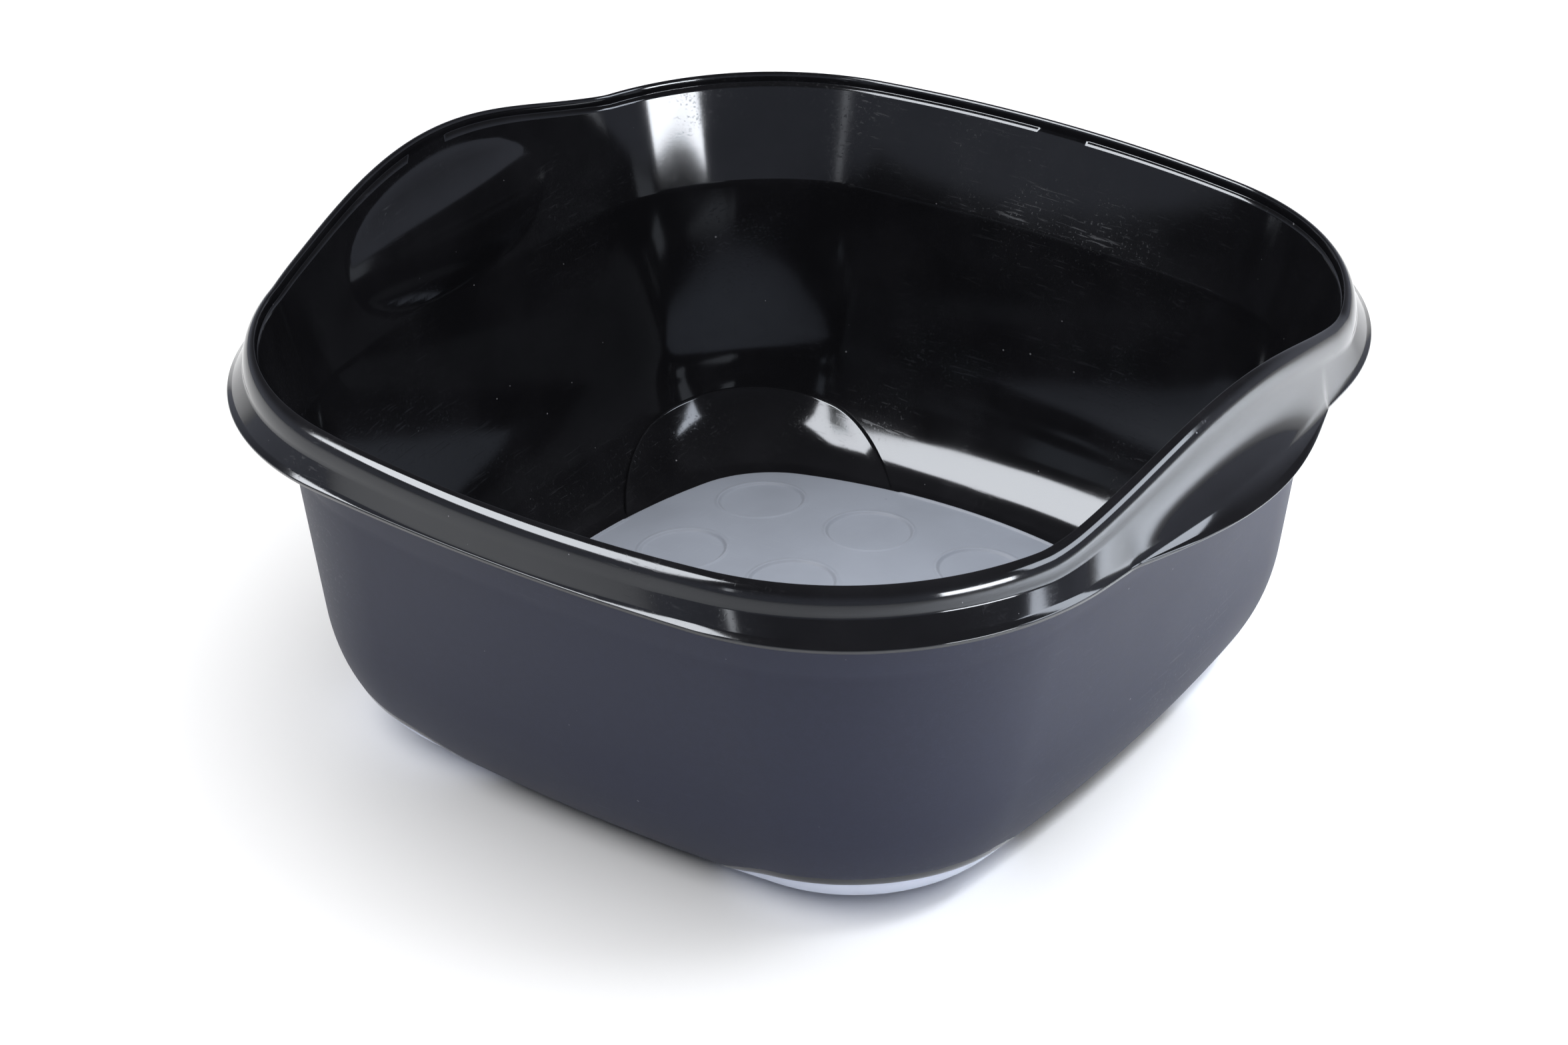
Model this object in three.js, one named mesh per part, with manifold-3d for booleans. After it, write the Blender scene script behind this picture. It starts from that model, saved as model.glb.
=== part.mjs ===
// Square plastic bowl with two hand grips, a soft floor mat and four soft corner feet.
// Millimetres, +Z up. The origin is on the ground under the middle of the bowl.
// The grips are on the -X and +X sides, and the plain sides face -Y and +Y.
import * as THREE from 'three';
import { ParametricGeometry } from 'three/addons/geometries/ParametricGeometry.js';
import { mergeVertices } from 'three/addons/utils/BufferGeometryUtils.js';
import Module from 'manifold-3d';

const wasm = await Module();
wasm.setup();

// ---- driving dimensions -------------------------------------------------------------
const wall = 2.2;                 // moulded wall thickness
const gap = 0.3;                  // clearance between separate pieces

const floorHalf = 118.6;          // half width of the flat ground outline
const coveWidth = 43.3;           // the curve from the floor to the wall, outward
const coveHeight = 76;            // the same curve, upward
const wallDraft = 0.15;           // wall lean, outward per height
const wallTopZ = 119;             // where the wall ends and the step starts
const bodySideRadius = 788;       // bow of the four sides
const bodyCornerLow = 55.5;       // corner radius at the ground
const bodyCornerGain = 0.513;     // growth of the corner radius with height
const bodyCornerFade = 0.00178;   // loss of that growth with height squared
const insideEase = 0.0005;        // extra inside corner radius with height squared

const bandFoot = { half: 171.6, side: 600, corner: 92, z: 122.4 };    // just above the step
const bandTop = { half: 185.5, side: 500, corner: 113.6, z: 161 };    // outside, under the rim
const noseTop = { half: 186, side: 500, corner: 114.1, z: 165.2 };    // highest line of the rim
const noseOut = { width: 3.6, drop: 6.2 };   // from the highest line out to the skirt
const noseIn = { width: 2.7, drop: 4 };      // from the highest line in to the band
const hem = { half: 190.2, side: 900, corner: 113.4, z: 145.4 };      // lower edge of the skirt
const roofStep = 0.8;             // the hollow under the rim ends this far above the band

const gripRise = 20;              // the rim climbs this much at each grip
const gripRiseReach = 104;        // half length of the climb
const gripRiseShape = 0.69;       // below 1 is flatter on top
const gripFlare = 12.2;           // the skirt flares out this much at each grip
const gripFlareReach = 67;        // half length of the flare
const recess = { reach: 62, height: 26, z: 147.5, depth: 5 };   // oval finger recess in the band

const crown = 17.8;               // height of the mat in the middle of the domed floor
const crownFall = 0.00055;        // fall of the dome per distance squared
const mat = { half: 124, side: 356, corner: 39, thickness: 1.6 };
const matBead = { height: 1.0, width: 2.6 };
const disc = { pitch: 55, radius: 18.5, depth: 0.6, count: 4, slices: 14 };

const foot = { centre: 85.7, radius: 55.6, thickness: 2 };
const patchRadius = foot.radius + 1.4;   // raised round patch inside, over each foot
const patchRoot = 0.3;            // the patch starts this far inside the shell's underside
const patchSink = 0.6;            // its edge lies this far below the floor

const floorSteps = [0, 0.3, 0.6, 0.8, 1];              // shares of the floor's half width
const coveSteps = [0.14, 0.28, 0.44, 0.62, 0.8, 1];    // shares of the cove's quarter turn
const noseSteps = [0.3, 0.65, 1, 1.35, 1.7];           // quarter turns over the rim
const loopSlices = 72;            // steps around the bowl
const gripSideShare = 8 / 18;     // share of a quarter's steps on the grip side's arc
const plainSideShare = 3 / 18;    // the same on the plain side's arc
const padRings = 6;               // steps from the middle of a round pad to its edge
const padSlices = 26;             // steps around a round pad

// ---- rounded square with bowed sides ------------------------------------------------
// Two arcs per quarter: a long side arc centred on the axis and a corner arc inside it.
function cornerCentre({ half, side, corner }) {
  const back = side - half;
  const reach = side - corner;
  return (Math.sqrt(2 * reach * reach - back * back) - back) / 2;
}

// First quarter of the outline, from the +X axis (t = 0) to the +Y axis (t = 1).
function planQuarter(plan, t) {
  const c = cornerCentre(plan);
  const back = plan.side - plan.half;
  const turn = Math.atan2(c, c + back);
  if (t <= gripSideShare) {
    const a = turn * t / gripSideShare;
    return [plan.side * Math.cos(a) - back, plan.side * Math.sin(a)];
  }
  if (t >= 1 - plainSideShare) {
    const a = turn * (1 - t) / plainSideShare;
    return [plan.side * Math.sin(a), plan.side * Math.cos(a) - back];
  }
  const along = (t - gripSideShare) / (1 - gripSideShare - plainSideShare);
  const a = turn + (Math.PI / 2 - 2 * turn) * along;
  return [c + plan.corner * Math.cos(a), c + plan.corner * Math.sin(a)];
}

// Point of the whole outline, once around for u from 0 to 1.
function planPoint(plan, u) {
  const quarter = Math.min(Math.floor(u * 4), 3);
  const t = u * 4 - quarter;
  const [x, y] = planQuarter(plan, quarter % 2 === 0 ? t : 1 - t);
  return { x: quarter === 0 || quarter === 3 ? x : -x, y: quarter < 2 ? y : -y };
}

// Distance of a point from the outline, negative inside.
function planDistance(plan, x, y) {
  const ax = Math.max(Math.abs(x), Math.abs(y));
  const ay = Math.min(Math.abs(x), Math.abs(y));
  const c = cornerCentre(plan);
  const back = plan.side - plan.half;
  if (ay * (c + back) <= c * (ax + back)) {
    return Math.hypot(ax + back, ay) - plan.side;
  }
  return Math.hypot(ax - c, ay - c) - plan.corner;
}

function shrink(plan, inward, up) {
  return {
    half: plan.half - inward,
    side: plan.side - inward,
    corner: plan.corner - inward,
    z: plan.z + up,
  };
}

// ---- body section: cove, then a leaning wall ----------------------------------------
function easeInside(z, inset) {
  return insideEase * z * z * Math.min(inset / wall, 1);
}

function bodyCorner(z, inset) {
  const outside = bodyCornerLow + bodyCornerGain * z - bodyCornerFade * z * z;
  return outside + easeInside(z, inset);
}

// Section of the cove at an angle from 0 (floor) to a quarter turn (wall), moved inward.
function coveSection(angle, inset) {
  const z = coveHeight * (1 - Math.cos(angle));
  const plan = {
    half: floorHalf + coveWidth * Math.sin(angle),
    side: bodySideRadius,
    corner: bodyCorner(z, inset),
    z,
  };
  const nx = Math.sin(angle) / coveWidth;
  const nz = Math.cos(angle) / coveHeight;
  const scale = inset / Math.hypot(nx, nz);
  return shrink(plan, nx * scale, nz * scale);
}

function wallSection(z, inset) {
  const half = floorHalf + coveWidth + wallDraft * (z - coveHeight);
  return shrink({ half, side: bodySideRadius, corner: bodyCorner(z, inset), z }, inset, 0);
}

// Height of the cove surface over a point of the plan.
function coveHeightOver(x, y, inset) {
  let low = 0;
  let high = Math.PI / 2;
  if (planDistance(coveSection(low, inset), x, y) <= 0) {
    return inset;
  }
  for (let i = 0; i < 40; i += 1) {
    const middle = (low + high) / 2;
    if (planDistance(coveSection(middle, inset), x, y) > 0) {
      low = middle;
    } else {
      high = middle;
    }
  }
  return coveSection(high, inset).z;
}

// ---- domed floor --------------------------------------------------------------------
const domeTop = (x, y) => crown - crownFall * (x * x + y * y);
const floorTop = (x, y) => domeTop(x, y) - mat.thickness - gap;
const floorUnder = (x, y) => floorTop(x, y) - wall;

// ---- grips --------------------------------------------------------------------------
function rise(y) {
  const t = Math.min(Math.abs(y) / gripRiseReach, 1);
  return gripRise * (0.5 + 0.5 * Math.cos(Math.PI * t)) ** gripRiseShape;
}

function flare(y) {
  const t = Math.min(Math.abs(y) / gripFlareReach, 1);
  return gripFlare * Math.cos(Math.PI / 2 * t);
}

function recessDepth(y, z) {
  const r = (y / recess.reach) ** 2 + ((z - recess.z) / recess.height) ** 2;
  return recess.depth * Math.max(0, 1 - r);
}

// ---- sections of the shell, from the middle of the underside round to the floor ------
function between(a, b, t) {
  const mix = (key) => a[key] + (b[key] - a[key]) * t;
  return { half: mix('half'), side: mix('side'), corner: mix('corner'), z: mix('z') };
}

function steps(count, make) {
  return Array.from({ length: count }, (_, i) => make(i / (count - 1)));
}

// A section is a function from u, once around the bowl, to a point.
function plainSection(plan, cover) {
  return (u) => {
    const p = planPoint(plan, u);
    return [p.x, p.y, Math.max(plan.z, cover(p.x, p.y))];
  };
}

const noCover = () => -Infinity;

// A band or rim section climbs with the grip by its share of the rise.
function gripSection(plan, riseShare, flareShare, dished) {
  return (u) => {
    const p = planPoint(plan, u);
    const z = plan.z + riseShare * rise(p.y);
    const out = flareShare * flare(p.y) - (dished ? recessDepth(p.y, z) : 0);
    const side = Math.abs(p.y) < gripRiseReach ? Math.sign(p.x) : 0;
    return [p.x + side * out, p.y, z];
  };
}

// An outline scaled towards the middle, at a height given over the plan.
function scaledSection(plan, fraction, height) {
  return (u) => {
    const p = planPoint(plan, u);
    const x = p.x * fraction;
    const y = p.y * fraction;
    return [x, y, height(x, y)];
  };
}

function bodySections(inset, cover) {
  const edge = coveSection(0, 0);
  const floor = floorSteps.map((f) => scaledSection(edge, f, cover));
  const cove = coveSteps.map((t) => plainSection(coveSection(t * Math.PI / 2, inset), cover));
  const upper = plainSection(wallSection(wallTopZ, inset), noCover);
  return [...floor, ...cove, upper];
}

function bandSections(inset, count) {
  const corner = bandFoot.corner + easeInside(bandFoot.z, inset);
  const low = shrink({ ...bandFoot, corner }, inset, 0);
  const high = shrink(bandTop, inset, 0);
  return steps(count, (t) => gripSection(between(low, high, t), t, 0, true));
}

// The skirt's side arcs tighten from the hem up to the rim.
function skirtSections(inset, count) {
  const low = shrink(hem, inset, 0);
  const high = shrink(noseTop, inset - noseOut.width, -noseOut.drop);
  return steps(count, (t) => gripSection(between(low, high, t), t, (1 - t) ** 2, false));
}

// The rim rolls from the skirt over its highest line to the inner edge.
function noseSections() {
  return noseSteps.map((t) => {
    const shape = t < 1 ? noseOut : noseIn;
    const out = shape.width * Math.cos(t * Math.PI / 2);
    const plan = shrink(noseTop, -out, shape.drop * (Math.sin(t * Math.PI / 2) - 1));
    return gripSection(plan, 1, 0, false);
  });
}

function shellSections() {
  const roofLine = shrink(bandTop, -wall / 2, roofStep);
  return [
    ...bodySections(0, floorUnder),
    ...bandSections(0, 6),
    gripSection(roofLine, 1, 0, false),
    ...skirtSections(wall, 4).reverse(),
    ...skirtSections(0, 4),
    ...noseSections(),
    ...bandSections(wall, 7).reverse(),
    ...bodySections(wall, floorTop).reverse(),
  ];
}

// ---- geometry helpers ---------------------------------------------------------------
function loopedGeometry(sections, slices) {
  const last = sections.length - 1;
  const place = (u, v, target) => {
    const section = sections[Math.round(v * last)];
    target.set(...section(u >= 1 ? 0 : u));
  };
  return new ParametricGeometry(place, slices, last);
}

function toSolid(geometry) {
  geometry.deleteAttribute('normal');
  geometry.deleteAttribute('uv');
  const merged = mergeVertices(geometry, 1e-4);
  const index = merged.getIndex().array;
  const kept = [];
  for (let i = 0; i < index.length; i += 3) {
    const [a, b, c] = index.slice(i, i + 3);
    if (a !== b && b !== c && c !== a) {
      kept.push(a, b, c);
    }
  }
  return new wasm.Manifold(new wasm.Mesh({
    numProp: 3,
    vertProperties: new Float32Array(merged.getAttribute('position').array),
    triVerts: new Uint32Array(kept),
  }));
}

function toMesh(name, solid, material) {
  const data = solid.getMesh();
  const geometry = new THREE.BufferGeometry();
  geometry.setAttribute('position', new THREE.BufferAttribute(data.vertProperties, 3));
  geometry.setIndex(new THREE.BufferAttribute(data.triVerts, 1));
  geometry.computeVertexNormals();
  const mesh = new THREE.Mesh(geometry, material);
  mesh.name = name;
  return mesh;
}

// Round pad between a lower and an upper surface, both heights over the plan.
function roundPad(cx, cy, radius, under, over, rings, slices) {
  const ring = (fraction, height) => (u) => {
    const x = cx + radius * fraction * Math.cos(2 * Math.PI * u);
    const y = cy + radius * fraction * Math.sin(2 * Math.PI * u);
    return [x, y, height(x, y)];
  };
  const fractions = steps(rings + 1, (t) => t);
  const lower = fractions.map((f) => ring(f, under));
  const upper = fractions.map((f) => ring(f, over)).reverse();
  return toSolid(loopedGeometry(lower.concat(upper), slices));
}

// ---- materials ----------------------------------------------------------------------
const shellBlack = new THREE.MeshStandardMaterial({ color: 0x15161a, roughness: 0.25, metalness: 0 });
const matGrey = new THREE.MeshStandardMaterial({ color: 0x7f8894, roughness: 0.7, metalness: 0 });
const footGrey = new THREE.MeshStandardMaterial({ color: 0xa9adbd, roughness: 0.65, metalness: 0 });

// ---- shell --------------------------------------------------------------------------
const corners = [
  { name: 'front_right', x: 1, y: -1 },
  { name: 'front_left', x: -1, y: -1 },
  { name: 'back_right', x: 1, y: 1 },
  { name: 'back_left', x: -1, y: 1 },
];
const footCeiling = (x, y, inset) => Math.max(
  coveHeightOver(x, y, inset),
  floorUnder(x, y) - (foot.thickness + gap - inset),
);

const pocketInset = foot.thickness + gap;
const patchTop = (x, y) => Math.max(
  coveHeightOver(x, y, pocketInset + wall),
  floorTop(x, y) - patchSink,
);

function buildShell() {
  let shell = toSolid(loopedGeometry(shellSections(), loopSlices));
  for (const { x, y } of corners) {
    const cx = x * foot.centre;
    const cy = y * foot.centre;
    const patch = roundPad(cx, cy, patchRadius,
      (px, py) => Math.max(coveHeightOver(px, py, patchRoot), floorUnder(px, py) + patchRoot),
      patchTop,
      padRings, padSlices);
    const pocket = roundPad(cx, cy, foot.radius,
      () => -1,
      (px, py) => footCeiling(px, py, pocketInset),
      padRings, padSlices);
    shell = shell.add(patch).subtract(pocket);
  }
  return toMesh('bowl_shell', shell, shellBlack);
}

// ---- soft mat on the floor ----------------------------------------------------------
function insideFootCircle(x, y) {
  return Math.hypot(Math.abs(x) - foot.centre, Math.abs(y) - foot.centre) < patchRadius;
}

const matUnder = (x, y) => Math.max(floorTop(x, y), coveHeightOver(x, y, wall)) + gap;
const matOver = (x, y) => matUnder(x, y) + mat.thickness;

function buildMat() {
  const beadTop = (x, y) => matOver(x, y) + (insideFootCircle(x, y) ? 0 : matBead.height);
  const beadInner = shrink(mat, matBead.width, 0);
  const beadCrest = shrink(mat, matBead.width / 2, 0);
  const lower = floorSteps.map((f) => scaledSection(mat, f, matUnder));
  const edge = [
    scaledSection(mat, 1, matOver),
    scaledSection(beadCrest, 1, beadTop),
    scaledSection(beadInner, 1, matOver),
  ];
  const upper = floorSteps.slice(0, -1).map((f) => scaledSection(beadInner, f, matOver));
  let solid = toSolid(loopedGeometry([...lower, ...edge, ...upper.reverse()], loopSlices));
  for (const { x, y } of corners) {
    solid = solid.subtract(roundPad(x * foot.centre, y * foot.centre, patchRadius + gap,
      () => 0,
      (px, py) => patchTop(px, py) + gap,
      padRings, padSlices));
  }
  const first = -disc.pitch * (disc.count - 1) / 2;
  for (let i = 0; i < disc.count; i += 1) {
    for (let j = 0; j < disc.count; j += 1) {
      solid = solid.subtract(roundPad(first + i * disc.pitch, first + j * disc.pitch, disc.radius,
        (x, y) => matOver(x, y) - disc.depth,
        (x, y) => matOver(x, y) + 1,
        1, disc.slices));
    }
  }
  return toMesh('floor_mat', solid, matGrey);
}

// ---- soft corner feet ---------------------------------------------------------------
function buildFoot({ name, x, y }) {
  const pad = roundPad(x * foot.centre, y * foot.centre, foot.radius - gap,
    (px, py) => coveHeightOver(px, py, 0),
    (px, py) => footCeiling(px, py, foot.thickness),
    padRings, padSlices);
  return toMesh(`foot_${name}`, pad, footGrey);
}

const group = new THREE.Group();
group.add(buildShell(), buildMat(), ...corners.map(buildFoot));

export default group;
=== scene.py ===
"""Square basin bowl: a glossy black moulded shell with two hand grips, a soft dimpled
mat on its domed floor and four soft round corner feet, on a pale studio floor.

Metres, +Z up, the origin on the ground under the middle of the bowl. The grips are on the
-X and +X sides. Each piece is a surface of two parameters, computed as whole arrays.
"""

import math

import bmesh
import bpy
import numpy as np
from bpy.props import FloatProperty, FloatVectorProperty, IntProperty, PointerProperty
from mathutils import Matrix, Vector


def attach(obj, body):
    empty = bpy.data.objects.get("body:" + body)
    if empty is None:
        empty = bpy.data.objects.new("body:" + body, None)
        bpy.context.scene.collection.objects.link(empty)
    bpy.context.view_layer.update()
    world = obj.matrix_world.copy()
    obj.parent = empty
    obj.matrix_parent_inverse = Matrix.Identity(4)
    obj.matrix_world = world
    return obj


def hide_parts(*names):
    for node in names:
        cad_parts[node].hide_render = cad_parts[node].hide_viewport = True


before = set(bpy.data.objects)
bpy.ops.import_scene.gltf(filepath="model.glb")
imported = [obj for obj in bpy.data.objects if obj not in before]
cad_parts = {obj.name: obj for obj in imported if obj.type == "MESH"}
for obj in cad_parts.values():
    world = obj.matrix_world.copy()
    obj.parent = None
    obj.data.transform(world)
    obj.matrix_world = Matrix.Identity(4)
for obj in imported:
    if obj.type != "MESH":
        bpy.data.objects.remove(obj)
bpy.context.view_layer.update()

bl_info = {
    "name": "Square Basin Bowl",
    "version": (1, 0, 0),
    "blender": (4, 5, 0),
    "location": "View3D > Sidebar > Basin",
    "description": "Builds a square basin bowl with its soft mat, feet and studio",
    "category": "Add Mesh",
}

MM = 0.001

# ---- fixed proportions, in millimetres --------------------------------------------------

WALL = 2.2                 # moulded wall thickness
GAP = 0.3                  # clearance between separate pieces
FLOOR_HALF = 118.6         # half width of the flat ground outline
COVE_WIDTH = 43.3          # curve from the floor to the wall, outward
COVE_HEIGHT = 76.0         # the same curve, upward
COVE_TURN = math.radians(72.5)    # where the curve runs into the wall
CREASE = 121.0             # height of the crease between the wall and the band
SIDE_LOW = 788.0           # radius of the four bowed sides at the ground
SIDE_CREASE = 600.0        # radius of the bowed sides at the crease
CORNER_LOW = 55.5          # corner radius at the ground
CORNER_GAIN = 0.45         # growth of the corner radius with height
CORNER_FADE = 0.0006       # loss of that growth with height squared
BAND_TOP = (185.5, 500.0, 113.6, 161.0)    # half, side arc, corner arc, height
NOSE_TOP = (184.4, 500.0, 112.5, 165.2)
NOSE_OUT = (4.9, 10.0)     # from the highest line out to the skirt: width, drop
NOSE_IN = (1.1, 4.2)       # from the highest line in to the band
HEM = (190.2, 900.0, 113.4, 145.4)
ROOF_STEP = 0.8            # the hollow under the rim ends this far above the band
MAT_PLAN = (124.0, 356.0, 39.0)
FLOOR_BLEND = 1.0          # rounding where the domed floor meets the cove
POCKET_START = 1.8         # a foot's pocket starts this far outside the foot's radius
POCKET_SIDE = 1.6          # and reaches its depth over this width
PATCH_EDGE = 1.4           # rounded edge of an inside patch
PATCH_ROOT = 0.3           # its edge goes this far into the shell
PATCH_BODY = 1.9           # its thickness
PATCH_SINK = 0.6           # its level below the domed floor
PATCH_BLEND = 0.8          # rounding where it meets the floor
LIP_OUT = (-0.1, -0.1, 0.15, 0.5, 0.9, 1.6, 2.2, 2.8, 3.4, 3.4, -0.1)       # past the foot
LIP_INSET = (1.9, 0.5, 0.12, -0.1, -0.22, -0.22, -0.12, 0.05, 0.35, 1.4, 1.9)  # into the shell
MAT_OVER_PATCH = 1.0       # the mat's top over a patch
MAT_STEP = 1.4             # where it steps up onto a patch, outside the foot's radius


# ---- arrays to meshes -------------------------------------------------------------------

def grid_faces(rows, columns, closed=True):
    """Four-sided faces of a grid of rows x columns points, the columns joined into a loop."""
    i = np.arange(rows - 1)[:, None]
    j = np.arange(columns if closed else columns - 1)[None, :]
    k = (j + 1) % columns
    a = i * columns + j
    b = i * columns + k
    c = (i + 1) * columns + k
    d = (i + 1) * columns + j
    return np.stack([a, b, c, d], axis=-1).reshape(-1, 4)


def new_object(name, points, faces, materials, face_material=None):
    """Mesh object from points in millimetres and four-sided faces; doubles are merged."""
    mesh = bpy.data.meshes.new(name)
    mesh.from_pydata((points * MM).tolist(), [], faces.tolist())
    for material in materials:
        mesh.materials.append(material)
    if face_material is not None:
        mesh.polygons.foreach_set("material_index", face_material.astype(np.int32))
    obj = bpy.data.objects.new(name, mesh)
    bpy.context.scene.collection.objects.link(obj)
    work = bmesh.new()
    work.from_mesh(mesh)
    bmesh.ops.remove_doubles(work, verts=work.verts, dist=1e-6)
    bmesh.ops.dissolve_degenerate(work, edges=work.edges, dist=1e-7)
    bmesh.ops.recalc_face_normals(work, faces=work.faces)
    work.to_mesh(mesh)
    work.free()
    mesh.polygons.foreach_set("use_smooth", np.ones(len(mesh.polygons), bool))
    mesh.update()
    return obj


def smooth(t):
    """Rises from 0 to 1 with level ends: 3t squared minus 2t cubed, t held to 0..1."""
    t = np.clip(t, 0.0, 1.0)
    return t * t * (3.0 - 2.0 * t)


def mix(a, b, t):
    """Between a and b by share t."""
    return a + (b - a) * t


# ---- rounded square with bowed sides ----------------------------------------------------

def corner_centre(half, side, corner):
    """Distance of a corner arc's centre from both axes, so that it meets the side arcs."""
    back = side - half
    reach = side - corner
    return (np.sqrt(2.0 * reach * reach - back * back) - back) / 2.0


def outline(half, side, corner, u):
    """Point of the outline at u (0 to 1, once around from the +X axis), evenly spaced.

    A quarter is a long arc of radius side centred on the axis, a corner arc, and the
    other long arc. Even and odd quarters are mirror images of the first.
    """
    c = corner_centre(half, side, corner)
    back = side - half
    turn = np.arctan2(c, c + back)
    long_arc = side * turn
    share = long_arc / (2 * long_arc + corner * (np.pi / 2 - 2 * turn))
    quarter = np.minimum(np.floor(u * 4.0), 3.0)
    t = u * 4.0 - quarter
    t = np.where(quarter % 2 == 0, t, 1.0 - t)
    a = turn * t / share
    b = turn * (1.0 - t) / share
    m = turn + (np.pi / 2 - 2 * turn) * (t - share) / (1.0 - 2 * share)
    near = t <= share
    far = t >= 1.0 - share
    x = np.where(near, side * np.cos(a) - back,
                 np.where(far, side * np.sin(b), c + corner * np.cos(m)))
    y = np.where(near, side * np.sin(a),
                 np.where(far, side * np.cos(b) - back, c + corner * np.sin(m)))
    return (np.where((quarter == 0) | (quarter == 3), x, -x),
            np.where(quarter < 2, y, -y))


def outline_distance(half, side, corner, x, y):
    """Distance of a point from the outline, negative inside."""
    ax = np.maximum(np.abs(x), np.abs(y))
    ay = np.minimum(np.abs(x), np.abs(y))
    c = corner_centre(half, side, corner)
    back = side - half
    on_side = ay * (c + back) <= c * (ax + back)
    return np.where(on_side, np.hypot(ax + back, ay) - side, np.hypot(ax - c, ay - c) - corner)


# ---- surfaces of the body ---------------------------------------------------------------

def body_corner(z):
    """Corner radius of the body: a rising parabola of height."""
    return CORNER_LOW + CORNER_GAIN * z - CORNER_FADE * z * z


def cove(angle, inset):
    """Outline (half, side, corner, z) of the cove at an angle, moved inward by inset.

    Part of an ellipse: outward by the sine, upward by one minus the cosine. The bow of the
    sides grows with height squared up to the crease.
    """
    z = COVE_HEIGHT * (1.0 - np.cos(angle))
    half = FLOOR_HALF + COVE_WIDTH * np.sin(angle)
    side = 1.0 / mix(1.0 / SIDE_LOW, 1.0 / SIDE_CREASE, (z / CREASE) ** 2)
    nx = np.sin(angle) / COVE_WIDTH
    nz = np.cos(angle) / COVE_HEIGHT
    scale = inset / np.hypot(nx, nz)
    inward = nx * scale
    return half - inward, side - inward, body_corner(z) - inward, z + nz * scale


def crease(inset):
    """Outline at the top of the wall, which runs on straight from the end of the cove."""
    lean = COVE_WIDTH / COVE_HEIGHT / math.tan(COVE_TURN)
    wall_foot = cove(COVE_TURN, 0.0)
    half = wall_foot[0] + lean * (CREASE - wall_foot[3])
    return half - inset, SIDE_CREASE - inset, body_corner(CREASE) - inset, CREASE


def cove_height(x, y, inset):
    """Height of the cove above a point, found by halving its angle 30 times."""
    x, y, inset = np.broadcast_arrays(x, y, inset)
    low = np.zeros(x.shape)
    high = np.full(x.shape, COVE_TURN)
    half, side, corner, z = cove(low, inset)
    flat = outline_distance(half, side, corner, x, y) <= 0
    for _ in range(30):
        middle = (low + high) / 2
        half, side, corner, z = cove(middle, inset)
        outside = outline_distance(half, side, corner, x, y) > 0
        low = np.where(outside, middle, low)
        high = np.where(outside, high, middle)
    return np.where(flat, inset, cove(high, inset)[3])


def dome(x, y, crown, fall):
    """Height of the mat's top on the domed floor: crown minus fall times distance squared."""
    return crown - fall * (x * x + y * y)


def grip_rise(y, rise, reach, shape):
    """Climb of the rim: a raised cosine to a power below 1, flatter on top."""
    t = np.minimum(np.abs(y) / reach, 1.0)
    return rise * (0.5 + 0.5 * np.cos(np.pi * t)) ** shape


def grip_flare(y, flare, reach):
    """Outward swing of the skirt at a grip: a quarter of a cosine each way."""
    t = np.minimum(np.abs(y) / reach, 1.0)
    return flare * np.cos(np.pi / 2 * t)


def soft_max(a, b, width):
    """The larger of two heights, with their meeting line rounded over width."""
    near = np.maximum(width - np.abs(a - b), 0.0)
    return np.maximum(a, b) + near * near / (4.0 * width)


def floor_top(x, y, mat):
    """Top of the domed floor under the mat."""
    return dome(x, y, mat.crown / MM, mat.crown_fall * MM) - mat.thickness / MM - GAP


def body_height(x, y, inset, mat):
    """Outside surface over a point, moved inward: the cove or the domed underside."""
    under = floor_top(x, y, mat) - WALL + inset
    return soft_max(cove_height(x, y, inset), under, FLOOR_BLEND)


def foot_distance(x, y, feet):
    """Distance in plan from the nearest foot's centre."""
    return np.hypot(np.abs(x) - feet.centre / MM, np.abs(y) - feet.centre / MM)


# ---- shell ------------------------------------------------------------------------------

def body_rows(inset, around, mat, feet, outside):
    """Points from the middle of the floor out over the cove and up to the wall's top.

    Rows inside the ground outline are that outline scaled down. Rows on the cove step its
    angle evenly. Outside, the surface sinks over each foot to make its pocket.
    """
    u = np.arange(around)[None, :] / around
    edge = outline(*cove(np.zeros((1, 1)), 0.0)[:3], u)
    f = np.linspace(0.0, 1.0, 11)[:-1, None]
    fx, fy = edge[0] * f, edge[1] * f
    cover = floor_top(fx, fy, mat) - (WALL if outside else 0.0)
    floor = np.stack([fx, fy, cover], axis=-1)
    angle = np.linspace(0.0, COVE_TURN, 27)[:, None]
    x, y = outline(*cove(angle, inset)[:3], u)
    push = np.zeros(x.shape)
    if outside:
        start = feet.radius / MM + POCKET_START
        sink = smooth((start - foot_distance(x, y, feet)) / POCKET_SIDE)
        push = (feet.pocket / MM) * sink
    half, side, corner, z = cove(angle, inset + push)
    x, y = outline(half, side, corner, u)
    cover = floor_top(x, y, mat) - (WALL if outside else 0.0)
    curve = np.stack([x, y, soft_max(z + 0 * x, cover, FLOOR_BLEND)], axis=-1)
    share = np.append(np.linspace(0.0, 0.97, 9)[1:], 1.0)[:, None]
    half, side, corner, z = (mix(low, high, share)
                             for low, high in zip(cove(COVE_TURN, inset), crease(inset)))
    x, y = outline(half, side, corner, u)
    wall = np.stack([x, y, z + 0 * x], axis=-1)
    return np.concatenate([floor, curve, wall])


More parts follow.
